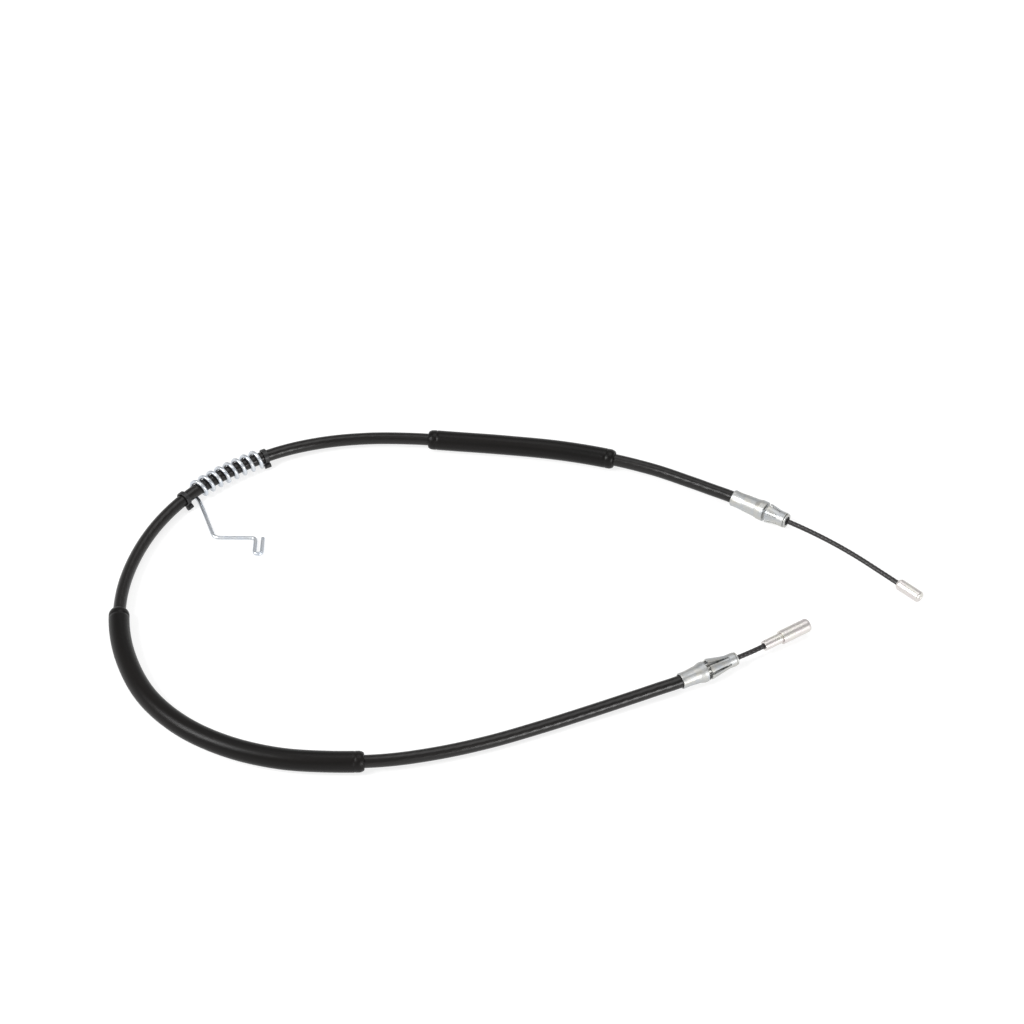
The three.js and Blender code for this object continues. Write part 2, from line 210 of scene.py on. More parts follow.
class Line:
    """A centreline that gives its places and headings by distance along it."""

    def __init__(self, dense):
        self.dense = dense
        steps = np.linalg.norm(np.diff(dense, axis=0), axis=1)
        self.marks = np.concatenate([[0.0], np.cumsum(steps)])
        self.length = self.marks[-1]
        slopes = np.gradient(dense, self.marks, axis=0)
        self.slopes = slopes / np.linalg.norm(slopes, axis=1)[:, None]

    def at(self, places):
        return np.stack([np.interp(places, self.marks, self.dense[:, k]) for k in range(3)], axis=-1)

    def heading(self, places):
        found = np.stack([np.interp(places, self.marks, self.slopes[:, k]) for k in range(3)], axis=-1)
        return found / np.linalg.norm(found, axis=-1, keepdims=True)

    def frames(self, places):
        """Centres, and at each the two directions that span its section: aside and upwards."""
        heading = self.heading(places)
        aside = np.cross(UP, heading)
        aside /= np.linalg.norm(aside, axis=1)[:, None]
        return self.at(places), aside, np.cross(heading, aside)


class Axis:
    """A straight axis from a point, used as a line is; places may be negative."""

    def __init__(self, start, direction):
        self.start = np.array(start, float)
        self.direction = np.array(direction, float)
        self.side = np.cross(self.direction, UP)
        self.side /= np.linalg.norm(self.side)

    def frames(self, places):
        centres = self.start + np.outer(places, self.direction)
        sides = np.tile(self.side, (len(places), 1))
        tops = np.tile(np.cross(self.side, self.direction), (len(places), 1))
        return centres, sides, tops

    def point(self, aside, along, over=0.0):
        return self.start + self.side * aside + self.direction * along + UP * over


def rounded(corners, radii, steps=4):
    """Profile of (place, radius) corners with each one rounded by its own radius."""
    points = []
    for i, corner in enumerate(corners):
        corner = np.array(corner, float)
        radius = radii[i]
        if radius == 0 or i in (0, len(corners) - 1):
            points.append(tuple(corner))
            continue
        before = np.array(corners[i - 1], float) - corner
        after = np.array(corners[i + 1], float) - corner
        reach = radius / math.tan(math.acos(
            np.clip(before @ after / np.linalg.norm(before) / np.linalg.norm(after), -1, 1)) / 2)
        start = corner + before / np.linalg.norm(before) * reach
        end = corner + after / np.linalg.norm(after) * reach
        for share in np.linspace(0, 1, steps + 1):
            point = (1 - share) ** 2 * start + 2 * share * (1 - share) * corner + share ** 2 * end
            points.append(tuple(point))
    return points


# Meshes

def add_mesh(name, vertices, faces, straight=None, sharp=35):
    """Object of a mesh, smooth up to an angle. Straight holds its places on the unbent piece."""
    mesh = bpy.data.meshes.new(name)
    mesh.from_pydata([tuple(v) for v in vertices], [], faces)
    if straight is not None:
        attribute = mesh.attributes.new("straight", "FLOAT_VECTOR", "POINT")
        attribute.data.foreach_set("vector", np.asarray(straight, np.float32).ravel())
    mesh.update()
    mesh.validate()
    mesh.shade_smooth()
    mesh.set_sharp_from_angle(angle=math.radians(sharp))
    piece = bpy.data.objects.new(name, mesh)
    bpy.context.collection.objects.link(piece)
    return piece


def bent_turning(name, profile, line, sides, change=None, sharp=35):
    """Piece of round section along a line. Profile points are (place, radius).
    It closes on itself if its last point is its first, and otherwise gets flat or pointed ends."""
    closed = profile[0] == profile[-1]
    rows = profile[:-1] if closed else profile
    places = np.array([p[0] for p in rows])
    radii = np.array([p[1] for p in rows])
    angles = np.arange(sides) / sides * 2 * math.pi
    grid = np.repeat(radii[:, None], sides, axis=1)
    if change:
        grid = change(places[:, None], angles[None, :], grid)
    centres, aside, over = line.frames(places)
    cosine = np.cos(angles)[None, :, None]
    sine = np.sin(angles)[None, :, None]
    rings = centres[:, None] + grid[..., None] * (aside[:, None] * cosine + over[:, None] * sine)
    straight = np.stack([
        np.repeat(places[:, None], sides, axis=1), grid * np.cos(angles), grid * np.sin(angles)], axis=-1)
    count = len(rows)
    faces = []
    for i in range(count if closed else count - 1):
        j = (i + 1) % count
        for k in range(sides):
            n = (k + 1) % sides
            faces.append((i * sides + k, j * sides + k, j * sides + n, i * sides + n))
    if not closed:
        faces.append(tuple(range(sides)))
        faces.append(tuple(range((count - 1) * sides, count * sides))[::-1])
    piece = add_mesh(name, rings.reshape(-1, 3), faces, straight.reshape(-1, 3), sharp)
    tidy_mesh(piece)
    return piece


def tidy_mesh(piece):
    """Merges points that lie together, such as those of a pointed end, and turns faces outwards."""
    working = bmesh.new()
    working.from_mesh(piece.data)
    bmesh.ops.remove_doubles(working, verts=working.verts, dist=1e-7)
    bmesh.ops.dissolve_degenerate(working, edges=working.edges, dist=1e-8)
    bmesh.ops.recalc_face_normals(working, faces=working.faces)
    working.to_mesh(piece.data)
    working.free()


def marks_between(start, end, step):
    """Even places from start to end, both included, about a step apart."""
    return list(np.linspace(start, end, max(2, round(abs(end - start) / step) + 1)))


# Materials

class Finish:
    """A material of nodes round one Principled shader."""

    def __init__(self, name, metallic=0.0, specular=0.5, on_straight=True):
        self.material = bpy.data.materials.new(name)
        self.material.use_nodes = True
        self.nodes = self.material.node_tree.nodes
        self.links = self.material.node_tree.links
        self.shader = self.nodes["Principled BSDF"]
        self.shader.inputs["Metallic"].default_value = metallic
        self.shader.inputs["Specular IOR Level"].default_value = specular
        if on_straight:
            self.place = self.nodes.new("ShaderNodeAttribute")
            self.place.attribute_name = "straight"
            self.place_socket = self.place.outputs["Vector"]
        else:
            self.place = self.nodes.new("ShaderNodeTexCoord")
            self.place_socket = self.place.outputs["Object"]
        self.bumps = None

    def noise(self, scale, detail=4.0, stretch=(1, 1, 1), roughness=0.55, distortion=0.0):
        """Noise over the piece. Scale counts grains in a metre, and stretch draws them out."""
        mapping = self.nodes.new("ShaderNodeMapping")
        mapping.inputs["Scale"].default_value = [scale / s for s in stretch]
        self.links.new(self.place_socket, mapping.inputs["Vector"])
        texture = self.nodes.new("ShaderNodeTexNoise")
        texture.inputs["Scale"].default_value = 1.0
        texture.inputs["Detail"].default_value = detail
        texture.inputs["Roughness"].default_value = roughness
        texture.inputs["Distortion"].default_value = distortion
        self.links.new(mapping.outputs["Vector"], texture.inputs["Vector"])
        return texture.outputs["Fac"]

    def colours(self, factor, stops):
        """Base colour that runs through the stops, each a (position, colour)."""
        ramp = self.nodes.new("ShaderNodeValToRGB")
        elements = ramp.color_ramp.elements
        while len(elements) < len(stops):
            elements.new(0.5)
        for element, (position, colour) in zip(elements, stops):
            element.position = position
            element.color = (*colour, 1)
        self.links.new(factor, ramp.inputs["Fac"])
        self.links.new(ramp.outputs["Color"], self.shader.inputs["Base Color"])
        return ramp.outputs["Color"]

    def roughness(self, factor, low, high, spread=(0.3, 0.7)):
        scaled = self.nodes.new("ShaderNodeMapRange")
        scaled.inputs["From Min"].default_value = spread[0]
        scaled.inputs["From Max"].default_value = spread[1]
        scaled.inputs["To Min"].default_value = low
        scaled.inputs["To Max"].default_value = high
        self.links.new(factor, scaled.inputs["Value"])
        self.links.new(scaled.outputs["Result"], self.shader.inputs["Roughness"])

    def bump(self, height, depth):
        """Relief of a depth in metres. Each call adds its relief to the one before."""
        bump = self.nodes.new("ShaderNodeBump")
        bump.inputs["Strength"].default_value = 1.0
        bump.inputs["Distance"].default_value = depth
        self.links.new(height, bump.inputs["Height"])
        if self.bumps:
            self.links.new(self.bumps, bump.inputs["Normal"])
        self.bumps = bump.outputs["Normal"]
        self.links.new(self.bumps, self.shader.inputs["Normal"])

    def helix_ribs(self, count, lay):
        """Ridges from 0 to 1 that wind round the piece, as wires laid under a skin do."""
        split = self.nodes.new("ShaderNodeSeparateXYZ")
        self.links.new(self.place_socket, split.inputs["Vector"])
        angle = self.math("ARCTAN2", split.outputs["Z"], split.outputs["Y"])
        turned = self.math("MULTIPLY", angle, count)
        wound = self.math("MULTIPLY", split.outputs["X"], 2 * math.pi * count / lay)
        return self.math("SINE", self.math("ADD", turned, wound))

    def math(self, kind, first, second=None):
        node = self.nodes.new("ShaderNodeMath")
        node.operation = kind
        for socket, value in zip(node.inputs, (first, second)):
            if isinstance(value, (int, float)):
                socket.default_value = value
            elif value is not None:
                self.links.new(value, socket)
        return node.outputs["Value"]


def conduit_finish():
    finish = Finish("conduit_plastic", specular=0.35)
    streaks = finish.noise(420, 4, (60, 1, 1))
    finish.colours(streaks, [(0.3, (0.0045, 0.004, 0.0038)), (0.7, (0.0095, 0.0083, 0.0078))])
    finish.roughness(finish.noise(900, 3, (25, 1, 1)), 0.24, 0.36)
    finish.bump(finish.helix_ribs(14, 0.11), 0.012 * MM)
    finish.bump(finish.noise(1500, 3, (6, 1, 1)), 0.02 * MM)
    return finish.material


def sleeve_finish():
    finish = Finish("sleeve_plastic", specular=0.19)
    patches = finish.noise(150, 5, (14, 1, 1), distortion=0.4)
    finish.colours(patches, [(0.3, (0.0028, 0.0024, 0.0022)), (0.7, (0.006, 0.005, 0.0046))])
    finish.roughness(finish.noise(260, 4, (22, 1, 1)), 0.32, 0.42)
    finish.bump(finish.noise(320, 4, (30, 1, 1)), 0.06 * MM)
    finish.bump(finish.noise(2400, 2), 0.02 * MM)
    return finish.material


def tie_finish():
    finish = Finish("tie_plastic", specular=0.5, on_straight=False)
    finish.colours(finish.noise(900, 3), [(0.3, (0.006, 0.006, 0.0065)), (0.7, (0.014, 0.014, 0.015))])
    finish.roughness(finish.noise(1400, 3), 0.3, 0.48)
    finish.bump(finish.noise(3000, 2), 0.015 * MM)
    return finish.material


def zinc_finish(name, cool, warm, low, high, stretch=(1, 1, 1)):
    """Bright zinc plating with a faint play of tints, and the fine rings of a turned surface."""
    finish = Finish(name, metallic=1.0)
    tints = finish.noise(160, 3, distortion=0.6)
    finish.colours(tints, [(0.32, cool), (0.68, warm)])
    finish.roughness(finish.noise(1300, 4, stretch), low, high)
    finish.bump(finish.noise(1500, 3, stretch), 0.004 * MM)
    finish.bump(finish.noise(260, 2), 0.012 * MM)
    return finish.material


def rope_finish():
    finish = Finish("coated_rope", specular=0.5)
    finish.colours(finish.noise(700, 4, (8, 1, 1)), [(0.3, (0.006, 0.005, 0.005)), (0.7, (0.015, 0.012, 0.0125))])
    finish.roughness(finish.noise(1500, 3), 0.3, 0.45)
    finish.bump(finish.noise(2600, 2), 0.015 * MM)
    return finish.material


def seal_finish():
    finish = Finish("seal_rubber", specular=0.4)
    finish.colours(finish.noise(1200, 3), [(0.3, (0.008, 0.008, 0.009)), (0.7, (0.017, 0.017, 0.018))])
    finish.roughness(finish.noise(1600, 3), 0.55, 0.75)
    finish.bump(finish.noise(3200, 2), 0.02 * MM)
    return finish.material


def liner_finish():
    finish = Finish("liner_plastic", specular=0.5, on_straight=False)
    finish.colours(finish.noise(300, 3), [(0.3, (0.72, 0.7, 0.65)), (0.7, (0.82, 0.8, 0.75))])
    finish.roughness(finish.noise(500, 3), 0.35, 0.5)
    finish.bump(finish.noise(1500, 2), 0.01 * MM)
    return finish.material


def steel_finish(name, dark, pale):
    finish = Finish(name, metallic=1.0, on_straight=False)
    finish.colours(finish.noise(500, 4), [(0.3, dark), (0.7, pale)])
    finish.roughness(finish.noise(900, 3), 0.3, 0.5)
    finish.bump(finish.noise(1800, 3), 0.02 * MM)
    return finish.material


CONDUIT_PLASTIC = conduit_finish()
SLEEVE_PLASTIC = sleeve_finish()
TIE_PLASTIC = tie_finish()
ZINC_PLATE = zinc_finish("zinc_plate", (0.46, 0.48, 0.5), (0.52, 0.51, 0.475), 0.42, 0.52, (1, 4, 4))
SPRING_STEEL = zinc_finish("spring_steel", (0.6, 0.64, 0.7), (0.66, 0.68, 0.7), 0.34, 0.44, (8, 1, 1))
TERMINAL_ZINC = zinc_finish("terminal_zinc", (0.67, 0.62, 0.63), (0.67, 0.66, 0.61), 0.36, 0.46, (1, 4, 4))
COATED_ROPE = rope_finish()
SEAL_RUBBER = seal_finish()
LINER_PLASTIC = liner_finish()
ARMOUR_STEEL = steel_finish("armour_steel", (0.4, 0.4, 0.41), (0.55, 0.55, 0.56))
INNER_STEEL = steel_finish("inner_rope_steel", (0.3, 0.3, 0.3), (0.5, 0.5, 0.5))


def dress(piece, material, slot, body, *nodes):
    """Gives a piece its material and body, and has it stand for its CAD nodes. The slot argument is not used."""
    piece.data.materials.clear()
    piece.data.materials.append(material)
    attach(piece, body)
    if nodes:
        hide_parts(*nodes)
    return piece


# Conduit

route = Line(smooth_line(ROUTE_POINTS, 60))


def add_conduit():
    outer = [(place, CONDUIT_RADIUS) for place in marks_between(0, route.length, 1.5 * MM)]
    inner = [(place, CONDUIT_BORE) for place in marks_between(route.length, 0, 6 * MM)]
    cover = bent_turning("conduit_cover", outer + inner + outer[:1], route, 40)
    dress(cover, CONDUIT_PLASTIC, "conduit_plastic", "conduit", "conduit_jacket")
    return cover


# Sleeves

def sleeve_profile(length):
    """Closed profile: rounded mouths, a shallow rim line near each end and a long plain body."""
    rim = SLEEVE_RADIUS - SLEEVE_RIM_DEPTH

    def end(place):
        return [
            (0, SLEEVE_BORE + 0.25 * MM), (0.12 * MM, SLEEVE_END_RADIUS - 0.55 * MM),
            (0.35 * MM, SLEEVE_END_RADIUS - 0.15 * MM), (0.8 * MM, SLEEVE_END_RADIUS + 0.2 * MM),
            (1.5 * MM, SLEEVE_END_RADIUS + 0.55 * MM), (2.3 * MM, SLEEVE_END_RADIUS + 0.83 * MM),
            (SLEEVE_TAPER, SLEEVE_RADIUS - 0.03 * MM), (3.8 * MM, SLEEVE_RADIUS),
            (SLEEVE_RIM_AT - 0.5 * MM, SLEEVE_RADIUS), (SLEEVE_RIM_AT - 0.2 * MM, rim),
            (SLEEVE_RIM_AT + 0.2 * MM, rim), (SLEEVE_RIM_AT + 0.5 * MM, SLEEVE_RADIUS),
        ]
    first = end(0)
    last = [(length - place, radius) for place, radius in reversed(first)]
    body = [(place, SLEEVE_RADIUS) for place in marks_between(8 * MM, length - 8 * MM, 1.5 * MM)]
    inner = [(place, SLEEVE_BORE) for place in marks_between(length - 0.3 * MM, 0.3 * MM, 5 * MM)]
    return first + body + last + inner + first[:1]


def add_sleeve(name, span, node):
    start, length = span

    def waver(places, angles, radii):
        """Slight unevenness of a soft tube pushed over a bend."""
        changed = radii.copy()
        for i, place in enumerate(places[:, 0]):
            for k, angle in enumerate(angles[0]):
                if radii[i, k] > SLEEVE_BORE + 0.5 * MM:
                    spot = Vector((place * 45, math.cos(angle) * 0.9, math.sin(angle) * 0.9))
                    changed[i, k] += 0.05 * MM * (noise.noise(spot) - 0.4)
        return changed

    profile = [(place + start, radius) for place, radius in sleeve_profile(length)]
    cover = bent_turning(name, profile, route, 48, waver)
    dress(cover, SLEEVE_PLASTIC, "sleeve_plastic", "conduit", node)


# Spring

def leg_points(steps):
    """Points of the hanger leg, with a rounded bend at each inner corner."""
    height = SPRING_WIRE_RADIUS + LEG_FLOOR_GAP
    corners = [np.array([x, y, height]) for x, y in LEG_CORNERS]
    points = [corners[0]]
    for i in range(1, len(corners) - 1):
        before = corners[i - 1] - corners[i]
        after = corners[i + 1] - corners[i]
        before /= np.linalg.norm(before)
        after /= np.linalg.norm(after)
        reach = LEG_BEND_RADII[i] / math.tan(math.acos(before @ after) / 2)
        start = corners[i] + before * reach
        end = corners[i] + after * reach
        for share in np.linspace(0, 1, steps + 1):
            points.append((1 - share) ** 2 * start + 2 * share * (1 - share) * corners[i] + share ** 2 * end)
    points.append(corners[-1])
    return points


def spring_line():
    """Coil round the conduit that runs out at the bottom as the leg."""
    coil_radius = CONDUIT_RADIUS + SPRING_RUNNING_GAP + SPRING_WIRE_RADIUS
    turns = SPRING_LENGTH / SPRING_PITCH
    count = round(turns * 16)
    share = np.arange(count + 1) / count
    places = SPRING_FROM + share * SPRING_LENGTH
    angles = -math.pi / 2 - (1 - share) * turns * 2 * math.pi
    heading = route.heading(places)
    inward = np.cross(UP, heading)
    inward /= np.linalg.norm(inward, axis=1)[:, None]
    coil = route.at(places) + coil_radius * (
        inward * np.cos(angles)[:, None] + UP * np.sin(angles)[:, None])
    return Line(smooth_line(list(coil) + leg_points(5), 12, centripetal=True))


class CarriedLine(Line):
    """A line whose section is carried along without twist, for wire that bends every way."""

    def frames(self, places):
        centres = self.at(places)
        headings = self.heading(places)
        aside = np.cross(UP, headings[0])
        aside /= np.linalg.norm(aside)
        sides = [aside]
        for heading in headings[1:]:
            aside = aside - heading * (aside @ heading)
            aside /= np.linalg.norm(aside)
            sides.append(aside)
        sides = np.array(sides)
        return centres, sides, np.cross(headings, sides)


def add_spring():
    line = CarriedLine(spring_line().dense)
    radius = SPRING_WIRE_RADIUS
    edge = 0.25 * MM
    length = line.length
    body = [(place, radius) for place in marks_between(edge, length - edge, 0.75 * MM)]
    first = [(0, 0), (0, radius - edge), (0.07 * MM, radius - 0.1 * MM)]
    last = [(length - place, r) for place, r in reversed(first)]
    coil = bent_turning("spring_coil", first + body + last, line, 20)
    dress(coil, SPRING_STEEL, "spring_steel", "conduit", "guard_spring")


# Tie bands

def add_box(working, low, high, edge):
    """Box with softened edges, added to a mesh in the making."""
    low = Vector(low)
    high = Vector(high)
    made = bmesh.ops.create_cube(working, size=1.0)
    corners = made["verts"]
    bmesh.ops.scale(working, vec=high - low, verts=corners)
    bmesh.ops.translate(working, vec=(low + high) / 2, verts=corners)
    edges = {e for v in corners for e in v.link_edges}
    bmesh.ops.bevel(working, geom=list(edges), offset=edge, segments=3, profile=0.5, affect="EDGES")


def add_tie(name, at, node):
    """Nylon strap closed round the conduit, with its ratchet head and the cut tail in it."""
    bore = CONDUIT_RADIUS + FIT_GAP
    outer = bore + TIE_THICKNESS
    half = TIE_WIDTH / 2
    edge = 0.25 * MM
    teeth = 64
    profile = rounded(
        [(0, bore), (-half, bore), (-half, outer), (half, outer), (half, bore), (0, bore)],
        [0, edge, edge, edge, edge, 0], 3)
    centre = route.at(np.array([at]))[0]
    axis = Axis(centre, route.heading(np.array([at]))[0])

    def serrate(places, angles, radii):
        """Fine ratchet teeth across the middle of the strap's outer face."""
        middle = (np.abs(places) < half * 0.55) & (radii > outer - 0.02 * MM)
        tooth = 0.5 + 0.5 * np.cos(angles * teeth / 2)
        return radii - middle * tooth * 0.12 * MM

    band = bent_turning(name, profile, axis, teeth * 3, serrate, sharp=50)
    working = bmesh.new()
    head_low = outer - TIE_HEAD_SINK
    side = TIE_HEAD_ACROSS / 2
    along = TIE_HEAD_ALONG / 2
    add_box(working, (head_low, -along, -side), (head_low + TIE_HEAD_TALL, along, side), 0.6 * MM)
    tail_low = outer + 0.35 * MM
    add_box(working, (tail_low, -half * 0.9, -side - 0.75 * MM), (tail_low + 1.2 * MM, half * 0.9, 0), 0.2 * MM)
    mesh = bpy.data.meshes.new(f"{name}_head")
    working.to_mesh(mesh)
    working.free()
    basis = Matrix((axis.side, axis.direction, np.cross(axis.side, axis.direction))).transposed().to_4x4()
    turn = Matrix.Rotation(math.pi + TIE_HEAD_DROP, 4, "Y")
    mesh.transform(Matrix.Translation(centre) @ basis @ turn)
    mesh.shade_smooth()
    mesh.set_sharp_from_angle(angle=math.radians(35))
    head = bpy.data.objects.new(f"{name}_head", mesh)
    bpy.context.collection.objects.link(head)
    dress(head, TIE_PLASTIC, "tie_plastic", "conduit")
    dress(band, TIE_PLASTIC, "tie_plastic", "conduit", node)


# Ferrules

def ferrule_profile(sizes):
    bore = CONDUIT_RADIUS + FIT_GAP
    lip = sizes["nose"] - FIT_GAP
    neck_end = FERRULE_LENGTH - LIP_THICKNESS
    conduit_end = sizes["insert"] + FIT_GAP
    corners = [
        (10 * MM, bore), (0, bore), (0, sizes["crimp"]), (CRIMP_LENGTH, sizes["crimp"]),
        (sizes["shoulder_from"] - FLARE_LENGTH, sizes["barrel"]), (sizes["shoulder_from"], sizes["shoulder"]),
        (sizes["shoulder_to"], sizes["shoulder"]), (sizes["shoulder_to"], sizes["neck"]),
        (neck_end, sizes["neck"]), (neck_end, lip), (FERRULE_LENGTH, lip), (FERRULE_LENGTH, sizes["bore"]),
        (conduit_end, sizes["bore"]), (conduit_end, bore), (10 * MM, bore),
    ]
    soft = 0.3 * MM
    radii = [0, 0.2 * MM, 0.45 * MM, 2 * MM, MM, 0.8 * MM, 0.4 * MM, soft, soft, soft, 0.45 * MM, soft, 0, 0, 0]
    return rounded(corners, radii)


def fill_in(profile, longest):
    """Adds points to long straight runs, so that a profile can take relief."""
    points = [profile[0]]
    for before, after in zip(profile, profile[1:]):
        parts = max(1, math.ceil(math.dist(before, after) / longest))
        for i in range(1, parts):
            share = i / parts
            points.append(tuple(b + (a - b) * share for b, a in zip(before, after)))
        points.append(after)
    return points


def add_ferrule(prefix, axis, sizes):
    def crimp(places, angles, radii):
        """Flats pressed round the first part by the crimping jaws, with ridges left between them."""
        start = np.clip((places - CRIMP_FLATS_FROM) / CRIMP_FLATS_FROM, 0, 1)
        end = np.clip((CRIMP_FLATS_TO - places) / CRIMP_FADE, 0, 1)
        press = 0.5 + 0.5 * np.cos(angles * CRIMP_FLATS)
        outside = radii > CONDUIT_RADIUS + FIT_GAP + 0.3 * MM
        return radii - outside * CRIMP_DEPTH * start * end * press ** 0.8

    profile = fill_in(ferrule_profile(sizes), 0.6 * MM)
    shell = bent_turning(f"{prefix}_ferrule_shell", profile, axis, 96, crimp, sharp=40)
    dress(shell, ZINC_PLATE, "zinc_plate", "conduit", f"{prefix}_ferrule")


def add_retainer(prefix, axis, sizes, roll, raised):
    """Sheet band on the neck whose fingers flare back towards the shoulder. One may be bent up a little."""
    tip = sizes["shoulder_to"] + FINGER_TIP_GAP
    band_to = FERRULE_LENGTH - LIP_THICKNESS - FIT_GAP
    band_from = band_to - RETAINER_BAND
    slot_to = band_from + 0.6 * MM
    half_slot = FINGER_SLOT / 2
    corner = 0.9 * MM
    sector = math.pi / FINGER_COUNT
    columns = 14

    def radius_at(place):
        share = np.clip((place - tip) / (band_from - tip), 0, 1)
        eased = share * share * (3 - 2 * share)
        blended = 0.75 * share + 0.25 * eased
        return sizes["prong"] + (sizes["nose"] - sizes["prong"]) * blended

    rows = [tip + corner * (1 - math.cos(math.pi / 2 * i / 5)) for i in range(6)]
    rows += marks_between(tip + corner + 0.5 * MM, slot_to - half_slot, 0.5 * MM)
    rows += [slot_to - half_slot + half_slot * math.sin(math.pi / 2 * i / 5) for i in range(1, 6)]
    rows += marks_between(slot_to + 0.4 * MM, band_to, 0.45 * MM)
    vertices = []
    straight = []
    faces = []
    for finger in range(FINGER_COUNT):
        middle = finger / FINGER_COUNT * 2 * math.pi + sector
        base = len(vertices)
        for place in rows:
            radius = float(radius_at(place))
            if finger == raised:
                radius += RAISED_LIFT * float(np.clip((band_from - place) / (band_from - tip), 0, 1)) ** 2
            opening = 0.0
            if place < slot_to:
                opening = half_slot
                if place > slot_to - half_slot:
                    opening = math.sqrt(max(0.0, half_slot ** 2 - (place - slot_to + half_slot) ** 2))
            if place < tip + corner:
                opening += corner - math.sqrt(max(0.0, corner ** 2 - (tip + corner - place) ** 2))
            reach = sector - math.asin(min(1, opening / radius))
            for k in range(columns + 1):
                angle = middle + reach * (2 * k / columns - 1)
                turned = -angle - roll
                x = radius * math.cos(turned)
                z = radius * math.sin(turned)
                vertices.append(axis.point(x, place, z))
                straight.append((place, x, z))
        for i in range(len(rows) - 1):
            for k in range(columns):
                a = base + i * (columns + 1) + k
                b = a + columns + 1
                faces.append((a, b, b + 1, a + 1))
    piece = add_mesh(f"{prefix}_fingers", vertices, faces, straight, sharp=50)
    tidy_mesh(piece)
    thicken = piece.modifiers.new("thickness", "SOLIDIFY")
    thicken.thickness = FINGER_THICKNESS
    thicken.offset = -1
    soften = piece.modifiers.new("edges", "BEVEL")
    soften.width = 0.18 * MM
    soften.segments = 2
    soften.angle_limit = math.radians(50)
    dress(piece, ZINC_PLATE, "zinc_plate", "conduit", f"{prefix}_prong_retainer")


def add_wiper(prefix, axis, sizes):
    bore = ROPE_RADIUS + WIPER_GAP
    radius = sizes["bore"] - FIT_GAP
    end = FERRULE_LENGTH + WIPER_PROUD
    start = end - WIPER_LENGTH
    middle = (start + end) / 2
    edge = 0.2 * MM
    corners = [(middle, bore), (start, bore), (start, radius), (end, radius), (end, bore), (middle, bore)]
    ring = bent_turning(f"{prefix}_wiper_ring", rounded(corners, [0, edge, edge, edge, edge, 0], 3), axis, 48)
    dress(ring, SEAL_RUBBER, "seal_rubber", "conduit", f"{prefix}_wiper_seal")


# Wire rope ends

def rope_dense(axis, reach, arc, bend, inserted):
    """Centreline of a rope end: straight past the nose, a gentle arc, then straight into its end piece."""
    straight_to = FERRULE_LENGTH + STRAIGHT_PAST_NOSE
    radius = arc / bend
    end = FERRULE_LENGTH + reach + inserted
    points = []
    for place in marks_between(ROPE_START, end, ROPE_POINT_STEP):
        heading = bend * np.clip(place - straight_to, 0, arc) / arc
        tail = max(place - straight_to - arc, 0)
        forward = radius * math.sin(heading) + tail * math.cos(heading)
        aside = radius * (1 - math.cos(heading)) + tail * math.sin(heading)
        points.append(axis.point(-aside, min(place, straight_to) + forward))
    return np.array(points)


def end_axis(axis, reach, arc, bend):
    """Axis of the piece at the end of a rope."""
    radius = arc / bend
    tail = reach - STRAIGHT_PAST_NOSE - arc
    aside = radius * (1 - math.cos(bend)) + tail * math.sin(bend)
    forward = radius * math.sin(bend) + tail * math.cos(bend)
    place = axis.point(-aside, FERRULE_LENGTH + STRAIGHT_PAST_NOSE + forward)
    return Axis(place, axis.direction * math.cos(bend) - axis.side * math.sin(bend))


def add_rope(prefix, dense, body):
    """Six strands laid round each other under a thin black coat."""
    line = Line(dense)

    def strands(places, angles, radii):
        wound = angles - places / ROPE_LAY * 2 * math.pi
        crown = np.abs(np.cos(wound * ROPE_STRANDS / 2))
        valley = ROPE_VALLEY * (1 - crown ** 0.8)
        return np.where(radii > 0, radii - valley, radii)

    body_marks = [(place, ROPE_RADIUS) for place in marks_between(0, line.length, 0.5 * MM)]
    profile = [(0, 0)] + body_marks + [(line.length, 0)]
    rope = bent_turning(f"{prefix}_rope", profile, line, 48, strands, sharp=60)
    dress(rope, COATED_ROPE, "coated_rope", body, f"{prefix}_wire")
    return rope


def add_button(axis):
    bore = ROPE_RADIUS + BORE_GAP
    corners = [
        (BUTTON_BORE_DEPTH, 0), (BUTTON_BORE_DEPTH, bore), (0, bore), (0, BUTTON_COLLAR),
        (1.6 * MM, BUTTON_RADIUS), (BUTTON_LENGTH, BUTTON_RADIUS), (BUTTON_LENGTH, 1.2 * MM),
        (BUTTON_LENGTH - 0.25 * MM, 0.9 * MM), (BUTTON_LENGTH - 0.25 * MM, 0),
    ]
    radii = [0, 0, 0.2 * MM, 0.35 * MM, 0.7 * MM, 1.8 * MM, 0.2 * MM, 0.1 * MM, 0]

    def swage(places, angles, radii):
        """Two faint parting lines left by the swaging dies."""
        seam = np.exp(-(np.minimum(np.abs(np.sin(angles)), 1) / 0.05) ** 2)
        body = np.clip((places - 2 * MM) / MM, 0, 1) * (radii > 3.5 * MM)
        return radii - 0.06 * MM * body * (1 - seam)

    profile = fill_in(rounded(corners, radii, 6), 0.8 * MM)
    return bent_turning("front_button_body", profile, axis, 96, swage)


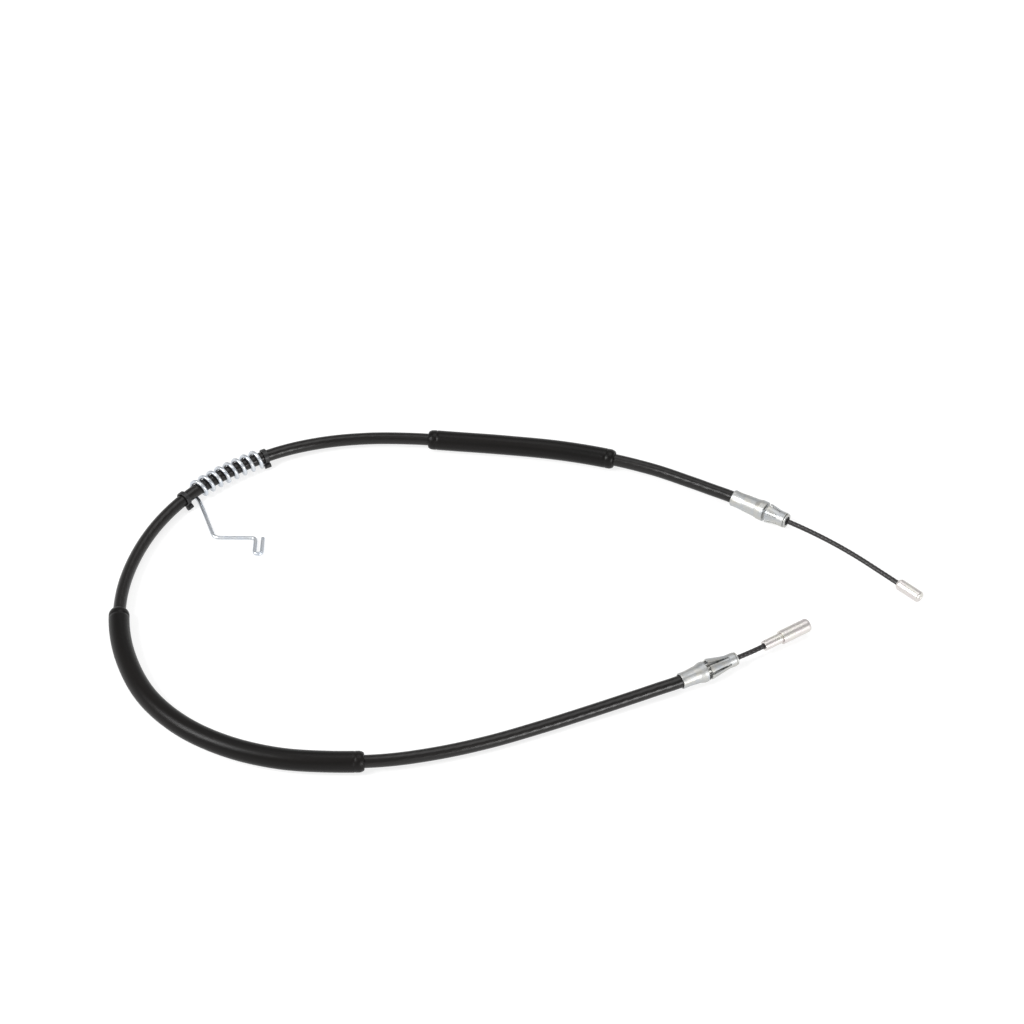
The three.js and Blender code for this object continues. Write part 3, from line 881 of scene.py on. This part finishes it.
def add_fitting(axis):
    bore = ROPE_RADIUS + BORE_GAP
    collar = FITTING_NECK_LENGTH - 2 * MM
    corners = [
        (FITTING_BORE_DEPTH, 0), (FITTING_BORE_DEPTH, bore), (0, bore), (0, FITTING_NECK_RADIUS - 0.1 * MM),
        (collar - 0.4 * MM, FITTING_NECK_RADIUS - 0.1 * MM), (collar, FITTING_NECK_RADIUS),
        (FITTING_NECK_LENGTH - 0.45 * MM, FITTING_NECK_RADIUS),
        (FITTING_NECK_LENGTH - 0.35 * MM, FITTING_GROOVE_RADIUS), (FITTING_NECK_LENGTH, FITTING_GROOVE_RADIUS),
        (FITTING_NECK_LENGTH, FITTING_RADIUS), (FITTING_LENGTH, FITTING_RADIUS), (FITTING_LENGTH, 1.2 * MM),
        (FITTING_LENGTH - 0.6 * MM, 0),
    ]
    soft = 0.25 * MM
    fine = 0.03 * MM
    radii = [0, 0, 0.2 * MM, 0.4 * MM, 0.1 * MM, 0.1 * MM, 0.15 * MM, fine, fine, soft, 2 * MM, 0.2 * MM, 0]
    profile = fill_in(rounded(corners, radii, 6), 0.8 * MM)
    return bent_turning("rear_fitting_body", profile, axis, 96)


def add_cable_end(prefix, place, sizes, roll, reach, arc, bend, inserted, body, raised=None):
    """Ferrule, retainer, seal and rope end. Returns the ferrule's axis, the rope and its end axis."""
    outward = route.heading(np.array([place]))[0] * (-1 if place == 0 else 1)
    start = route.at(np.array([place]))[0] - outward * sizes["insert"]
    axis = Axis(start, outward)
    add_ferrule(prefix, axis, sizes)
    add_retainer(prefix, axis, sizes, roll, raised)
    add_wiper(prefix, axis, sizes)
    dense = rope_dense(axis, reach, arc, bend, inserted)
    return axis, dense, add_rope(prefix, dense, body), end_axis(axis, reach, arc, bend)


# The conduit and the rope ends come first, as the cords of the part
conduit = add_conduit()
front_axis, front_dense, front_rope, button_axis = add_cable_end(
    "front", 0, FRONT_FERRULE, FRONT_FINGER_ROLL, FRONT_REACH, FRONT_ARC, FRONT_BEND,
    BUTTON_BORE_DEPTH - BORE_GAP, "front_wire_end")
rear_axis, rear_dense, rear_rope, fitting_axis = add_cable_end(
    "rear", route.length, REAR_FERRULE, REAR_FINGER_ROLL, REAR_REACH, REAR_ARC, REAR_BEND,
    FITTING_BORE_DEPTH - BORE_GAP, "rear_wire_end", REAR_RAISED_FINGER)
button = dress(add_button(button_axis), TERMINAL_ZINC, "terminal_zinc", "front_wire_end", "front_button")
fitting = dress(add_fitting(fitting_axis), TERMINAL_ZINC, "terminal_zinc", "rear_wire_end", "rear_end_fitting")

tuple(front_axis.point(0, FERRULE_LENGTH - 7 * MM))
tuple(rear_axis.point(0, FERRULE_LENGTH - 7 * MM))

add_sleeve("upper_sleeve_cover", UPPER_SLEEVE, "upper_sleeve")
add_sleeve("lower_sleeve_cover", LOWER_SLEEVE, "lower_sleeve")
add_spring()
add_tie("front_tie", FRONT_TIE_AT, "front_tie_band")
add_tie("rear_tie", REAR_TIE_AT, "rear_tie_band")

for node_name, material in (
    ("conduit_armour", ARMOUR_STEEL), ("conduit_liner", LINER_PLASTIC), ("inner_wire", INNER_STEEL),
):
    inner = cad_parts[node_name]
    inner.data.materials.clear()
    inner.data.materials.append(material)


# Bench and light
BENCH_GREY = 0.34
BENCH_GLOW = 0.74
BENCH_HALF = 12.0
CEILING_GREY = 0.4

def add_floor():
    """White bench. What looks at it straight or in a gloss sees it a little brighter, shadows kept."""
    material = bpy.data.materials.new("white_bench")
    material.use_nodes = True
    nodes = material.node_tree.nodes
    links = material.node_tree.links
    shader = nodes["Principled BSDF"]
    shader.inputs["Base Color"].default_value = (BENCH_GREY, BENCH_GREY, BENCH_GREY, 1)
    shader.inputs["Roughness"].default_value = 0.9
    shader.inputs["Specular IOR Level"].default_value = 0.0
    path = nodes.new("ShaderNodeLightPath")
    straight = nodes.new("ShaderNodeMath")
    straight.operation = "MAXIMUM"
    links.new(path.outputs["Is Camera Ray"], straight.inputs[0])
    links.new(path.outputs["Is Glossy Ray"], straight.inputs[1])
    seen = nodes.new("ShaderNodeMath")
    seen.operation = "MAXIMUM"
    links.new(straight.outputs["Value"], seen.inputs[0])
    links.new(path.outputs["Is Transmission Ray"], seen.inputs[1])
    glow = nodes.new("ShaderNodeMath")
    glow.operation = "MULTIPLY"
    glow.inputs[1].default_value = BENCH_GLOW
    links.new(seen.outputs["Value"], glow.inputs[0])
    shader.inputs["Emission Color"].default_value = (1, 1, 1, 1)
    links.new(glow.outputs["Value"], shader.inputs["Emission Strength"])
    mesh = bpy.data.meshes.new("bench")
    corners = [(BENCH_HALF * x, BENCH_HALF * y, 0) for x, y in ((-1, -1), (1, -1), (1, 1), (-1, 1))]
    mesh.from_pydata(corners, [], [(0, 1, 2, 3)])
    mesh.materials.append(material)
    bench = bpy.data.objects.new("bench", mesh)
    bench.location.z = -0.0002
    bpy.context.collection.objects.link(bench)


def add_world():
    """White round the horizon and greyer overhead; straight views of it are white."""
    world = bpy.data.worlds.new("studio")
    bpy.context.scene.world = world
    world.use_nodes = True
    nodes = world.node_tree.nodes
    links = world.node_tree.links
    background = nodes["Background"]
    place = nodes.new("ShaderNodeTexCoord")
    split = nodes.new("ShaderNodeSeparateXYZ")
    links.new(place.outputs["Generated"], split.inputs["Vector"])
    ramp = nodes.new("ShaderNodeValToRGB")
    ramp.color_ramp.elements[0].position = 0.12
    ramp.color_ramp.elements[0].color = (1, 1, 1, 1)
    ramp.color_ramp.elements[1].position = 0.5
    ramp.color_ramp.elements[1].color = (CEILING_GREY, CEILING_GREY, CEILING_GREY, 1)
    links.new(split.outputs["Z"], ramp.inputs["Fac"])
    path = nodes.new("ShaderNodeLightPath")
    mix = nodes.new("ShaderNodeMix")
    mix.data_type = "RGBA"
    links.new(path.outputs["Is Camera Ray"], mix.inputs["Factor"])
    links.new(ramp.outputs["Color"], mix.inputs["A"])
    mix.inputs["B"].default_value = (1, 1, 1, 1)
    links.new(mix.outputs["Result"], background.inputs["Color"])


def add_softbox(name, place, aim, width, height, power):
    lamp = bpy.data.lights.new(name, "AREA")
    lamp.shape = "RECTANGLE"
    lamp.size = width
    lamp.size_y = height
    lamp.energy = power
    holder = bpy.data.objects.new(name, lamp)
    holder.location = place
    direction = Vector(aim) - Vector(place)
    holder.rotation_euler = direction.to_track_quat("-Z", "Y").to_euler()
    holder.visible_camera = False
    bpy.context.collection.objects.link(holder)


add_floor()
add_world()
add_softbox("left_softbox", (-1.42, -0.61, 1.52), (-0.2, -0.13, 0), 0.8, 0.8, 32)
add_softbox("right_softbox", (1.25, -1.5, 0.56), (0, -0.1, 0), 0.6, 0.5, 16)
add_softbox("top_softbox", (0.4, 0.6, 2.2), (0, 0, 0), 1.6, 1.6, 14)

bpy.context.scene.view_settings.view_transform = "Standard"
